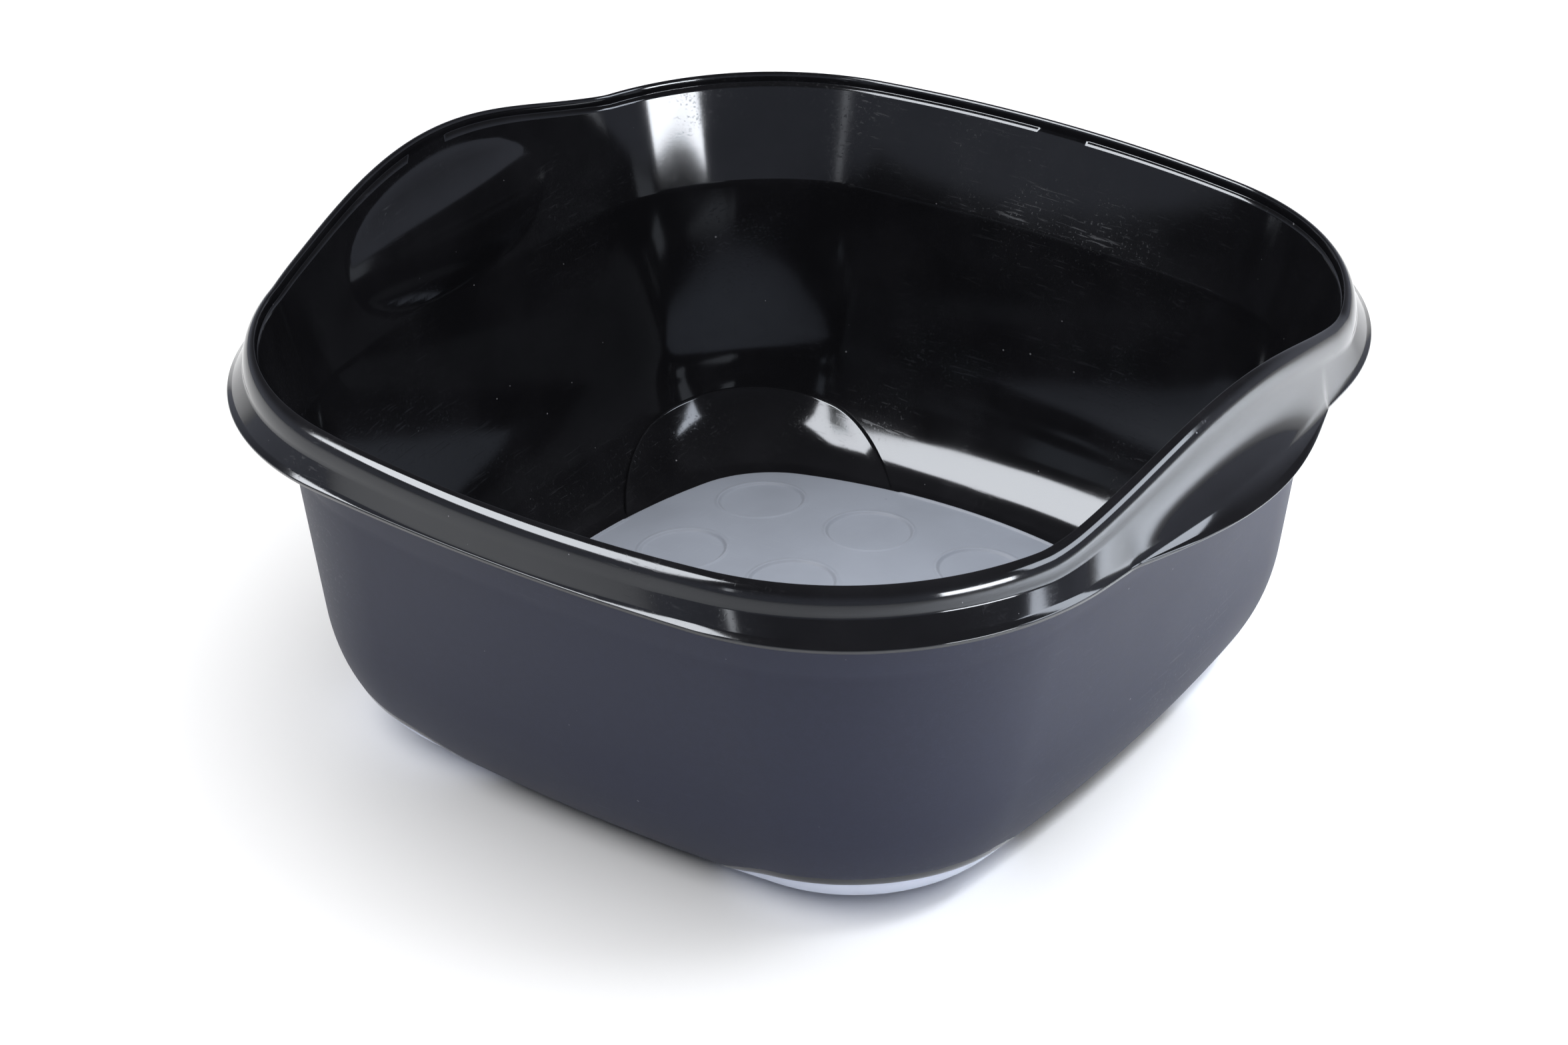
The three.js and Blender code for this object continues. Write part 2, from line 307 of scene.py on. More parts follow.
def grip_rows(half, side, corner, z, rise_share, flare_share, dished, around, shape):
    """Rows of the band, skirt or rim: outlines that climb and swing out at the grips.

    The band is dished inward by an upside-down paraboloid over an ellipse at each grip.
    """
    u = np.arange(around)[None, :] / around
    half, side, corner, z, rise_share, flare_share = (
        np.broadcast_to(np.asarray(v, float), half.shape)[:, None]
        for v in (half, side, corner, z, rise_share, flare_share))
    x, y = outline(half, side, corner, u)
    lift = grip_rise(y, shape.grip_rise / MM, shape.grip_reach / MM, shape.grip_shape)
    high = z + rise_share * lift
    out = flare_share * grip_flare(y, shape.grip_flare / MM, shape.flare_reach / MM)
    notch = smooth((shape.flare_reach / MM - np.abs(y)) / 2.5 + 0.5) * np.sqrt(flare_share)
    out = out + shape.hem_step / MM * notch
    high = high + shape.hem_step / MM * notch
    if dished:
        r = ((y / (shape.recess_reach / MM)) ** 2
             + ((high - shape.recess_z / MM) / (shape.recess_height / MM)) ** 2)
        out = out - shape.recess_depth / MM * np.maximum(0.0, 1.0 - r)
    at_grip = np.where(np.abs(y) < shape.grip_reach / MM, np.sign(x), 0.0)
    return np.stack([x + at_grip * out, y, high], axis=-1)


def band_rows(inset, count, around, shape):
    """The band above the crease, from bottom to top."""
    t = np.append(0.03, np.linspace(0.0, 1.0, count + 1)[1:])
    high = (BAND_TOP[0] - inset, BAND_TOP[1] - inset, BAND_TOP[2] - inset, BAND_TOP[3])
    half, side, corner, z = (mix(a, b, t) for a, b in zip(crease(inset), high))
    return grip_rows(half, side, corner, z, t, 0 * t, True, around, shape)


def skirt_rows(inset, t, around, shape):
    """The skirt from the hem (t = 0) up to the rim (t = 1), flaring by (1 - t) squared."""
    top = [v + NOSE_OUT[0] for v in NOSE_TOP[:3]]
    side = 1.0 / mix(1.0 / HEM[1], 1.0 / top[1], t)
    return grip_rows(mix(HEM[0], top[0], t) - inset, side - inset,
                     mix(HEM[2], top[2], t) - inset,
                     mix(HEM[3], NOSE_TOP[3] - NOSE_OUT[1], t),
                     t, (1.0 - t) ** 2, False, around, shape)


def hem_rows(around, shape):
    """The rounded lower edge of the skirt: half a circle across its thickness, then a low
    bead around the outside, half a wave of the sine over its height."""
    a = np.linspace(0.0, np.pi, 9)[1:-1]
    r = WALL / 2
    b = np.linspace(0.0, np.pi, 9)
    inset = np.concatenate([r + r * np.cos(a), -shape.bead_out / MM * np.sin(b)])
    high = np.concatenate([-r * np.sin(a), shape.bead_height / MM * b / np.pi])
    t = high / (NOSE_TOP[3] - NOSE_OUT[1] - HEM[3])
    share = (1.0 - np.maximum(t, 0.0)) ** 2
    return grip_rows(HEM[0] - inset, HEM[1] - inset, HEM[2] - inset, HEM[3] + high,
                     0 * t, share, False, around, shape)


def nose_rows(around, shape):
    """The rolled rim: quarters of two ellipses, one down outside and one down inside."""
    a = np.linspace(0.0, np.pi, 25)[1:]
    out = np.where(a < np.pi / 2, NOSE_OUT[0], NOSE_IN[0]) * np.cos(a)
    drop = np.where(a < np.pi / 2, NOSE_OUT[1], NOSE_IN[1])
    return grip_rows(NOSE_TOP[0] + out, NOSE_TOP[1] + out, NOSE_TOP[2] + out,
                     NOSE_TOP[3] + drop * (np.sin(a) - 1.0), 0 * a + 1.0, 0 * a,
                     False, around, shape)


def build_shell(shape, mat, feet, materials):
    """The whole shell as one closed skin, from under the floor over the rim to the inside."""
    around = shape.around
    roof = grip_rows(np.array([BAND_TOP[0] + WALL / 2]), BAND_TOP[1], BAND_TOP[2],
                     np.array([BAND_TOP[3] + ROOF_STEP]), 1.0, 0.0, False, around, shape)
    outer = [body_rows(0.0, around, mat, feet, True), band_rows(0.0, 10, around, shape), roof]
    inner = [skirt_rows(WALL, np.linspace(1.0, 0.0, 7), around, shape),
             hem_rows(around, shape),
             skirt_rows(0.0, np.linspace(0.25, 1.0, 14), around, shape),
             nose_rows(around, shape),
             band_rows(WALL, 20, around, shape)[::-1],
             body_rows(WALL, around, mat, feet, False)[::-1]]
    satin = sum(len(rows) for rows in outer)
    points = np.concatenate(outer + inner)
    faces = grid_faces(len(points), around)
    row = np.repeat(np.arange(len(points) - 1), around)
    return new_object("shell", points.reshape(-1, 3), faces, materials,
                      (row < satin).astype(int))


# ---- round patches inside and lips outside, at the corners ------------------------------

CORNERS = ((1, -1), (-1, -1), (1, 1), (-1, 1))


def polar(cx, cy, radii, around):
    """Plan points of circles around a centre."""
    a = np.arange(around)[None, :] / around * 2.0 * np.pi
    r = np.asarray(radii, float)[:, None]
    return cx + r * np.cos(a), cy + r * np.sin(a)


def build_corner_rounds(shape, mat, feet, material):
    """A raised round patch inside and a thin round lip outside at each corner.

    A patch is a disc that follows the cove, its edge rounded down by a quarter circle.
    A lip is a narrow ring, chamfered towards the foot that it frames.
    """
    count = 144
    points, faces = [], []
    used = 0
    radius = feet.radius / MM
    for sx, sy in CORNERS:
        cx, cy = sx * feet.centre / MM, sy * feet.centre / MM
        r = radius + shape.patch_margin / MM
        raised = WALL + feet.pocket / MM
        k = np.linspace(0.0, 1.0, 8)[1:]
        level = np.linspace(0.0, r - PATCH_EDGE, 20)
        radii = np.concatenate([level, r - PATCH_EDGE + PATCH_EDGE * k, level[::-1]])
        edge = (raised - WALL + PATCH_ROOT) * (1.0 - np.sqrt(1.0 - k ** 2))
        drop = np.concatenate([0 * level, edge, 0 * level + PATCH_BODY])
        x, y = polar(cx, cy, radii, count)
        inset = (raised - drop)[:, None] + 0 * x
        base = floor_top(x, y, mat) - PATCH_SINK - drop[:, None] * 0.5
        patch = np.stack([x, y, soft_max(cove_height(x, y, inset), base, PATCH_BLEND)], axis=-1)
        x, y = polar(cx, cy, radius + np.array(LIP_OUT), count)
        z = body_height(x, y, np.array(LIP_INSET)[:, None] + 0 * x, mat)
        lip = np.stack([x, y, z], axis=-1)
        for rows in (patch, lip):
            faces.append(grid_faces(len(rows), count) + used)
            points.append(rows.reshape(-1, 3))
            used += rows.shape[0] * count
    return new_object("corner_rounds", np.concatenate(points), np.concatenate(faces), [material])


# ---- soft feet --------------------------------------------------------------------------

def build_foot(name, sx, sy, mat, feet, material):
    """A round soft pad that follows the ground and the cove, its edge rounded by a quarter
    circle, and its top under the shell's pocket."""
    count = 160
    cx, cy = sx * feet.centre / MM, sy * feet.centre / MM
    edge = feet.edge / MM
    r = feet.radius / MM - GAP
    k = np.linspace(0.0, np.pi / 2, 9)
    level = np.linspace(0.0, r - edge, 26)
    radii = np.concatenate([level, r - edge + edge * np.sin(k[1:])])
    inset = np.concatenate([0 * level, edge * (1 - np.cos(k[1:]))])
    x, y = polar(cx, cy, radii, count)
    low = np.stack([x, y, cove_height(x, y, inset[:, None] + 0 * x)], axis=-1)
    x, y = polar(cx, cy, np.append(r, level[::-1]), count)
    ceiling = np.maximum(cove_height(x, y, feet.pocket / MM - GAP),
                         floor_top(x, y, mat) - WALL - GAP)
    high = np.stack([x, y, ceiling], axis=-1)
    rows = np.concatenate([low, high])
    return new_object(name, rows.reshape(-1, 3), grid_faces(len(rows), count), [material])


# ---- soft mat ---------------------------------------------------------------------------

def mat_height(x, y, mat, feet):
    """Top of the mat without its discs and bead: level with the patches at the corners."""
    base = np.maximum(floor_top(x, y, mat), cove_height(x, y, WALL)) + GAP
    top = base + mat.thickness / MM
    patch = np.maximum(cove_height(x, y, WALL + feet.pocket / MM),
                       floor_top(x, y, mat) - PATCH_SINK)
    inside = smooth((feet.radius / MM + MAT_STEP - foot_distance(x, y, feet)) / 1.5)
    return np.where(inside > 0, mix(top, np.maximum(top, patch + MAT_OVER_PATCH), inside), top)


def disc_relief(r, mat):
    """Relief of a dished disc: a low lip at its radius, a step down and a shallow dish."""
    radius = mat.disc_radius / MM
    depth = mat.disc_depth / MM
    lip = 0.6 * depth * np.exp(-((r - radius) / 0.9) ** 2)
    step = -depth * smooth((radius - 0.2 - r) / 1.7)
    dish = -0.9 * depth * np.maximum(0.0, 1.0 - (r / radius) ** 2)
    return lip + step + dish


def square_to_mat(x, y, reach, plan):
    """Moves a point of the outer ring of cells so that the square's edge meets the mat's
    outline: straight from the inner square to the outline point at the same share."""
    m = np.maximum(np.maximum(np.abs(x), np.abs(y)), 1e-9)
    inner = reach / 2
    ex, ey = x * reach / m, y * reach / m
    on_x = np.abs(ex) >= np.abs(ey)
    t = np.where(on_x, np.abs(ey) / reach * 0.5, 1.0 - np.abs(ex) / reach * 0.5)
    tx, ty = outline(*plan, t / 4.0)
    tx, ty = np.where(ex < 0, -tx, tx), np.where(ey < 0, -ty, ty)
    share = np.clip((m - inner) / inner, 0.0, 1.0)
    wx = mix(x * inner / m, tx, share)
    wy = mix(y * inner / m, ty, share)
    return np.where(m <= inner, x, wx), np.where(m <= inner, y, wy)


def build_mat(mat, feet, material):
    """The mat: 4 x 4 cells, each a round disc grid that widens to the cell's square, then an
    edge with a raised bead, a rounded side and a closed underside."""
    side_steps = 24
    pitch = mat.disc_pitch / MM
    reach = 2 * pitch
    radius = mat.disc_radius / MM
    line = np.linspace(-1.0, 1.0, side_steps + 1)[:-1]
    one = np.ones(side_steps)
    qx = np.concatenate([one, -line, -one, line])
    qy = np.concatenate([line, one, -line, -one])
    angle = np.arctan2(qy, qx)
    radii = np.concatenate([radius * np.linspace(0.0, 0.86, 9),
                            radius + np.linspace(-2.2, 2.2, 16)])
    bead_plan = tuple(v - mat.bead_width / MM for v in MAT_PLAN)
    points, faces = [], []
    used = 0
    blend = np.linspace(0.0, 1.0, 6)[1:, None]
    for i in range(4):
        for j in range(4):
            cx, cy = (i - 1.5) * pitch, (j - 1.5) * pitch
            dx = radii[:, None] * np.cos(angle)[None, :]
            dy = radii[:, None] * np.sin(angle)[None, :]
            bx, by = square_to_mat(cx + qx * pitch / 2, cy + qy * pitch / 2, reach, bead_plan)
            x = np.concatenate([cx + dx, mix(cx + dx[-1], bx, blend)])
            y = np.concatenate([cy + dy, mix(cy + dy[-1], by, blend)])
            relief = disc_relief(np.hypot(x - cx, y - cy), mat)
            relief[-1] = 0.0
            z = mat_height(x, y, mat, feet) + relief
            rows = np.stack([x, y, z], axis=-1)
            faces.append(grid_faces(len(rows), len(qx)) + used)
            points.append(rows.reshape(-1, 3))
            used += rows.shape[0] * rows.shape[1]
    around = 16 * side_steps
    u = np.arange(around)[None, :] / around
    k = np.linspace(0.0, 1.0, 13)[:, None]
    half, side, corner = (v - (1.0 - k) * mat.bead_width / MM for v in MAT_PLAN)
    x, y = outline(half, side, corner, u)
    free = smooth((foot_distance(x, y, feet) - feet.radius / MM - MAT_STEP) / 2.0)
    bead = mat.bead_height / MM * np.sin(np.pi * np.clip((k - 0.15) / 0.75, 0, 1)) ** 1.5
    rim = np.stack([x, y, mat_height(x, y, mat, feet) + bead * free], axis=-1)
    f = np.append(1.0, np.linspace(0.99, 0.0, 34))[:, None]
    ox, oy = outline(*(np.array([[v]]) for v in MAT_PLAN), u)
    x, y = ox * f, oy * f
    base = np.maximum(floor_top(x, y, mat), cove_height(x, y, WALL)) + GAP
    under = np.stack([x, y, base], axis=-1)
    rows = np.concatenate([rim, under])
    faces.append(grid_faces(len(rows), around) + used)
    points.append(rows.reshape(-1, 3))
    return new_object("mat", np.concatenate(points), np.concatenate(faces), [material])


# ---- shader helpers ---------------------------------------------------------------------

def new_group(name, inputs, outputs):
    """Empty shader node group with named number inputs (with defaults) and outputs."""
    group = bpy.data.node_groups.new(name, "ShaderNodeTree")
    for label, kind, value in inputs:
        socket = group.interface.new_socket(label, in_out="INPUT", socket_type=kind)
        if value is not None:
            socket.default_value = value
    for label, kind in outputs:
        group.interface.new_socket(label, in_out="OUTPUT", socket_type=kind)
    return group, group.nodes.new("NodeGroupInput"), group.nodes.new("NodeGroupOutput")


def add(tree, kind, settings=None, **inputs):
    """New node with its settings; each input is a value, or a socket to link from."""
    node = tree.nodes.new("ShaderNode" + kind)
    for key, value in (settings or {}).items():
        setattr(node, key, value)
    for key, value in inputs.items():
        numbered = key[0] == "i" and key[1:].isdigit()
        socket = node.inputs[int(key[1:]) if numbered else key.replace("_", " ").title()]
        if isinstance(value, bpy.types.NodeSocket):
            tree.links.new(value, socket)
        else:
            socket.default_value = value
    return node


def calc(tree, operation, a, b=0.0, c=0.0):
    """Math node on numbers or sockets; returns its result."""
    return add(tree, "Math", {"operation": operation}, i0=a, i1=b, i2=c).outputs[0]


def ramp(tree, value, low, high):
    """Smooth 0 to 1 as value goes from low to high."""
    return add(tree, "MapRange", {"interpolation_type": "SMOOTHSTEP", "clamp": True},
               value=value, from_min=low, from_max=high, to_min=0.0, to_max=1.0).outputs[0]


def grain_group():
    """Fine moulded grain: two sizes of noise, as a height."""
    kinds = "NodeSocketFloat"
    group, start, end = new_group("Moulded Grain",
                                  [("Vector", "NodeSocketVector", None),
                                   ("Scale", kinds, 1500.0), ("Softness", kinds, 0.5)],
                                  [("Height", kinds)])
    fine = add(group, "TexNoise", vector=start.outputs[0], scale=start.outputs[1], detail=3.0)
    wide = add(group, "TexNoise", vector=start.outputs[0],
               scale=calc(group, "MULTIPLY", start.outputs[1], 0.21), detail=2.0)
    part = calc(group, "MULTIPLY", wide.outputs[0], start.outputs[2])
    height = calc(group, "ADD", fine.outputs[0], part)
    group.links.new(height, end.inputs[0])
    return group


def scuff_group():
    """Fine wiping scratches in patches, as a mask.

    Two noises are stretched long one way at two turns, and only their thin crests are
    kept. A wide noise says where the surface was rubbed.
    """
    kinds = "NodeSocketFloat"
    group, start, end = new_group("Wiping Scratches",
                                  [("Vector", "NodeSocketVector", None),
                                   ("Scale", kinds, 1.0), ("Coverage", kinds, 0.5)],
                                  [("Mask", kinds), ("Rubbed", kinds)])
    crests = []
    for turn, stretch in (((0.4, 0.2, 0.5), (900.0, 60.0, 900.0)),
                          ((0.1, 0.7, -0.9), (70.0, 1000.0, 800.0))):
        place = add(group, "Mapping", vector=start.outputs[0], rotation=turn, scale=stretch)
        noise = add(group, "TexNoise", vector=place.outputs[0], scale=start.outputs[1], detail=2.0)
        crests.append(ramp(group, noise.outputs[0], 0.60, 0.72))
    both = calc(group, "MAXIMUM", crests[0], crests[1])
    wide = add(group, "TexNoise", vector=start.outputs[0],
               scale=calc(group, "MULTIPLY", start.outputs[1], 14.0), detail=4.0)
    bare = calc(group, "MULTIPLY", calc(group, "SUBTRACT", 1.0, start.outputs[2]), 0.5)
    rubbed = ramp(group, calc(group, "SUBTRACT", wide.outputs[0], bare), 0.15, 0.42)
    group.links.new(calc(group, "MULTIPLY", both, rubbed), end.inputs[0])
    group.links.new(rubbed, end.inputs[1])
    return group


def dust_group():
    """Sparse specks of dust: small round spots in a few cells of a cell pattern, as a mask."""
    kinds = "NodeSocketFloat"
    group, start, end = new_group("Dust Specks",
                                  [("Vector", "NodeSocketVector", None),
                                   ("Scale", kinds, 160.0), ("Share", kinds, 0.15)],
                                  [("Mask", kinds)])
    cells = add(group, "TexVoronoi", vector=start.outputs[0], scale=start.outputs[1])
    split = add(group, "SeparateColor", color=cells.outputs["Color"])
    size = calc(group, "MULTIPLY", split.outputs[1], 0.10)
    spot = calc(group, "LESS_THAN", cells.outputs["Distance"], size)
    chosen = calc(group, "LESS_THAN", split.outputs[0], start.outputs[2])
    group.links.new(calc(group, "MULTIPLY", spot, chosen), end.inputs[0])
    return group


def shared_groups():
    """The three surface effects, built once."""
    makers = {"Moulded Grain": grain_group, "Wiping Scratches": scuff_group,
              "Dust Specks": dust_group}
    for name, make in makers.items():
        if name not in bpy.data.node_groups:
            make()
    return [bpy.data.node_groups[name] for name in makers]


def use_group(tree, group, vector, **values):
    """Places a shared effect with its own values."""
    node = tree.nodes.new("ShaderNodeGroup")
    node.node_tree = group
    tree.links.new(vector, node.inputs["Vector"])
    for key, value in values.items():
        node.inputs[key.title()].default_value = value
    return node


def new_material(name):
    """Material with a Principled surface; returns it, its tree, its shader and coordinates."""
    material = bpy.data.materials.new(name)
    material.use_nodes = True
    tree = material.node_tree
    shader = tree.nodes["Principled BSDF"]
    where = tree.nodes.new("ShaderNodeTexCoord").outputs["Object"]
    return material, tree, shader, where


def blend_colour(tree, share, a, b):
    """Mix of two colours by a share."""
    node = tree.nodes.new("ShaderNodeMix")
    node.data_type = "RGBA"
    tree.links.new(share, node.inputs[0])
    for socket, value in ((node.inputs[6], a), (node.inputs[7], b)):
        if isinstance(value, bpy.types.NodeSocket):
            tree.links.new(value, socket)
        else:
            socket.default_value = (*value[:3], 1.0)
    return node.outputs[2]


def gloss_material(look):
    """Glossy black moulded plastic, with wiping scratches, dust and a gentle flow waviness."""
    grain, scuffs, dust = shared_groups()
    material, tree, shader, where = new_material("shell_gloss")
    marks = use_group(tree, scuffs, where, scale=1.0, coverage=look.scuff_cover)
    specks = use_group(tree, dust, where, scale=230.0, share=0.10)
    film = add(tree, "TexNoise", vector=where, scale=26.0, detail=5.0, roughness=0.6)
    base = blend_colour(tree, ramp(tree, film.outputs[0], 0.35, 0.75), look.gloss_colour,
                        [c * 1.6 for c in look.gloss_colour])
    worn = blend_colour(tree, calc(tree, "MULTIPLY", marks.outputs["Mask"], 0.3), base,
                        (0.022, 0.022, 0.025))
    dusty = blend_colour(tree, calc(tree, "MULTIPLY", specks.outputs["Mask"], 0.55), worn,
                         (0.30, 0.30, 0.32))
    tree.links.new(dusty, shader.inputs["Base Color"])
    soft = calc(tree, "MULTIPLY_ADD", marks.outputs["Rubbed"], 0.05, look.gloss_roughness)
    soft = calc(tree, "MULTIPLY_ADD", marks.outputs["Mask"], 0.16, soft)
    soft = calc(tree, "MULTIPLY_ADD", film.outputs[0], 0.04, soft)
    tree.links.new(soft, shader.inputs["Roughness"])
    flow = add(tree, "TexNoise", vector=where, scale=11.0, detail=1.5)
    fine = use_group(tree, grain, where, scale=900.0, softness=0.6)
    wave = add(tree, "Bump", height=flow.outputs[0], strength=1.0, distance=0.0007)
    skin = add(tree, "Bump", height=fine.outputs[0], strength=0.5, distance=0.0000035,
               normal=wave.outputs[0])
    scratch = add(tree, "Bump", {"invert": True}, height=marks.outputs["Mask"], strength=0.5,
                  distance=0.000012, normal=skin.outputs[0])
    tree.links.new(scratch.outputs[0], shader.inputs["Normal"])
    shader.inputs["Specular Tint"].default_value = (0.90, 0.94, 1.0, 1.0)
    return material


def satin_material(look):
    """Dark slate moulded plastic with a fine even grain that scatters a soft sheen."""
    grain, scuffs, dust = shared_groups()
    material, tree, shader, where = new_material("shell_satin")
    fine = use_group(tree, grain, where, scale=1500.0, softness=0.8)
    marks = use_group(tree, scuffs, where, scale=0.8, coverage=0.35)
    specks = use_group(tree, dust, where, scale=200.0, share=0.08)
    cloud = add(tree, "TexNoise", vector=where, scale=18.0, detail=4.0)
    lighter = [c * 1.06 for c in look.satin_colour]
    base = blend_colour(tree, ramp(tree, cloud.outputs[0], 0.3, 0.7), look.satin_colour, lighter)
    pitted = blend_colour(tree, ramp(tree, fine.outputs["Height"], 0.75, 1.1), base,
                          [c * 1.12 for c in look.satin_colour])
    worn = blend_colour(tree, calc(tree, "MULTIPLY", marks.outputs["Mask"], 0.25), pitted,
                        [c * 1.6 for c in look.satin_colour])
    dusty = blend_colour(tree, calc(tree, "MULTIPLY", specks.outputs["Mask"], 0.4), worn,
                         (0.25, 0.25, 0.27))
    tree.links.new(dusty, shader.inputs["Base Color"])
    soft = calc(tree, "MULTIPLY_ADD", cloud.outputs[0], 0.08, look.satin_roughness)
    soft = calc(tree, "MULTIPLY_ADD", marks.outputs["Mask"], -0.08, soft)
    tree.links.new(soft, shader.inputs["Roughness"])
    bump = add(tree, "Bump", height=fine.outputs["Height"], strength=0.6, distance=0.000012)
    tree.links.new(bump.outputs[0], shader.inputs["Normal"])
    shader.inputs["Specular IOR Level"].default_value = 0.25
    return material


def soft_material(name, colour, roughness, grain_scale, sheen):
    """Soft moulded rubber: fine grain, slow colour clouds, faint rubs and a few specks."""
    grain, scuffs, dust = shared_groups()
    material, tree, shader, where = new_material(name)
    fine = use_group(tree, grain, where, scale=grain_scale, softness=0.7)
    marks = use_group(tree, scuffs, where, scale=0.9, coverage=0.45)
    specks = use_group(tree, dust, where, scale=150.0, share=0.10)
    cloud = add(tree, "TexNoise", vector=where, scale=22.0, detail=5.0, roughness=0.55)
    base = blend_colour(tree, ramp(tree, cloud.outputs[0], 0.3, 0.72), colour,
                        [min(c * 1.12, 1.0) for c in colour])
    rubbed = blend_colour(tree, calc(tree, "MULTIPLY", marks.outputs["Mask"], 0.18), base,
                          [min(c * 1.35, 1.0) for c in colour])
    dusty = blend_colour(tree, calc(tree, "MULTIPLY", specks.outputs["Mask"], 0.35), rubbed,
                         [c * 0.55 for c in colour])
    tree.links.new(dusty, shader.inputs["Base Color"])
    soft = calc(tree, "MULTIPLY_ADD", cloud.outputs[0], 0.10, roughness)
    soft = calc(tree, "MULTIPLY_ADD", marks.outputs["Rubbed"], -0.05, soft)
    tree.links.new(soft, shader.inputs["Roughness"])
    wave = add(tree, "Bump", height=cloud.outputs[0], strength=0.6, distance=0.0004)
    bump = add(tree, "Bump", height=fine.outputs["Height"], strength=0.7, distance=0.00003,
               normal=wave.outputs[0])
    tree.links.new(bump.outputs[0], shader.inputs["Normal"])
    shader.inputs["Sheen Weight"].default_value = sheen
    return material


# ---- studio -----------------------------------------------------------------------------

def floor_material(colour):
    """Pale matt floor with a barely visible unevenness."""
    material, tree, shader, where = new_material("studio_floor")
    cloud = add(tree, "TexNoise", vector=where, scale=3.0, detail=3.0)
    tone = blend_colour(tree, cloud.outputs[0], colour, [c * 0.99 for c in colour])
    tree.links.new(tone, shader.inputs["Base Color"])
    shader.inputs["Roughness"].default_value = 0.85
    shader.inputs["Specular IOR Level"].default_value = 0.2
    return material


def build_floor(radius, material):
    """A round floor on the ground: circles of points around the middle."""
    x, y = polar(0.0, 0.0, np.linspace(0.0, radius / MM, 5), 96)
    points = np.stack([x, y, 0 * x], axis=-1).reshape(-1, 3)
    mesh = bpy.data.meshes.new("studio_floor")
    mesh.from_pydata((points * MM).tolist(), [], grid_faces(5, 96).tolist())
    mesh.materials.append(material)
    obj = bpy.data.objects.new("studio_floor", mesh)
    bpy.context.scene.collection.objects.link(obj)
    return obj


def area_lamp(name, place, target, width, height, radiance, colour):
    """Rectangular lamp at a place, facing a target. Power is radiance x pi x area."""
    lamp = bpy.data.lights.new(name, "AREA")
    lamp.shape = "RECTANGLE"
    lamp.size = width
    lamp.size_y = height
    lamp.energy = radiance * math.pi * width * height
    lamp.color = colour
    obj = bpy.data.objects.new(name, lamp)
    bpy.context.scene.collection.objects.link(obj)
    obj.location = place
    obj.rotation_euler = (target - place).to_track_quat("-Z", "Y").to_euler()
    obj.visible_camera = False
    return obj


def card(name, azimuth, elevation, width, height, radiance, colour, distance=1.8):
    """Bright card for reflections, seen from the bowl at two angles (degrees, from +X and
    above level); width and height are the angles it fills. It adds no light of its own."""
    a, e = math.radians(azimuth), math.radians(elevation)
    way = Vector((math.cos(e) * math.cos(a), math.cos(e) * math.sin(a), math.sin(e)))
    middle = Vector((0.0, 0.0, 0.1))
    obj = area_lamp(name, middle + way * distance, middle,
                    2 * distance * math.tan(math.radians(width) / 2),
                    2 * distance * math.tan(math.radians(height) / 2), radiance, colour)
    obj.visible_diffuse = False
    return obj


def overhead(name, x, y, height, size, radiance, colour, spread):
    """Square lamp facing straight down over a spread in degrees, without a reflection."""
    obj = area_lamp(name, Vector((x, y, height)), Vector((x, y, 0.0)), size, size, radiance,
                    colour)
    obj.data.spread = math.radians(spread)
    obj.visible_glossy = False
    return obj


WHITE = (1.0, 1.0, 1.0)
COOL = (0.90, 0.94, 1.0)

# name, azimuth, elevation, width and height in degrees, radiance, colour
CARDS = (("front_left", -125, 33, 40, 30, 16.0, WHITE),
         ("right_low", -15, 8.5, 23, 9, 30.0, WHITE),
         ("right_high", 17, 24, 27, 18, 10.0, COOL),
         ("strip", -91, 13, 2.5, 8, 6.0, WHITE))

# name, place and side length in metres, radiance, colour, spread in degrees
OVERHEADS = (("top", 0.0, 0.0, 2.2, 5.0, 2.3, WHITE, 180),
             ("top_right", 1.0, 0.3, 1.2, 0.6, 24.0, COOL, 75))


def build_world(zenith, horizon):
    """Dim studio room: paler at the horizon, darker overhead."""
    world = bpy.data.worlds.new("studio_room")
    bpy.context.scene.world = world
    world.use_nodes = True
    tree = world.node_tree
    sky = tree.nodes["Background"]
    way = tree.nodes.new("ShaderNodeTexCoord").outputs["Generated"]
    split = add(tree, "SeparateXYZ", vector=way)
    up = ramp(tree, split.outputs[2], 0.02, 0.55)
    tree.links.new(blend_colour(tree, up, horizon, zenith), sky.inputs["Color"])
    sky.inputs["Strength"].default_value = 1.0


def build_camera(stage):
    """Camera on a sphere around its aim, then rolled about its own line of sight."""
    a, e, roll = stage.azimuth, stage.elevation, stage.roll
    back = Vector((math.sin(a) * math.cos(e), -math.cos(a) * math.cos(e), math.sin(e)))
    level = Vector((math.cos(a), math.sin(a), 0.0))
    up = back.cross(level)
    right = math.cos(roll) * level + math.sin(roll) * up
    top = math.cos(roll) * up - math.sin(roll) * level
    data = bpy.data.cameras.new("camera")
    data.lens = stage.lens
    data.sensor_width = 36.0
    data.clip_start = 0.05
    camera = bpy.data.objects.new("camera", data)
    bpy.context.scene.collection.objects.link(camera)
    place = Matrix((right, top, back)).transposed().to_4x4()
    place.translation = Vector(stage.aim) + back * stage.distance
    camera.matrix_world = place
    bpy.context.scene.camera = camera


# ---- settings ---------------------------------------------------------------------------

def length(label, text, value):
    """Length property in metres."""
    return FloatProperty(name=label, description=text, default=value, min=0.0, unit="LENGTH",
                         precision=5)


def tint(label, text, value):
    """Colour property."""
    return FloatVectorProperty(name=label, description=text, default=value, subtype="COLOR",
                               size=3, min=0.0, max=1.0)


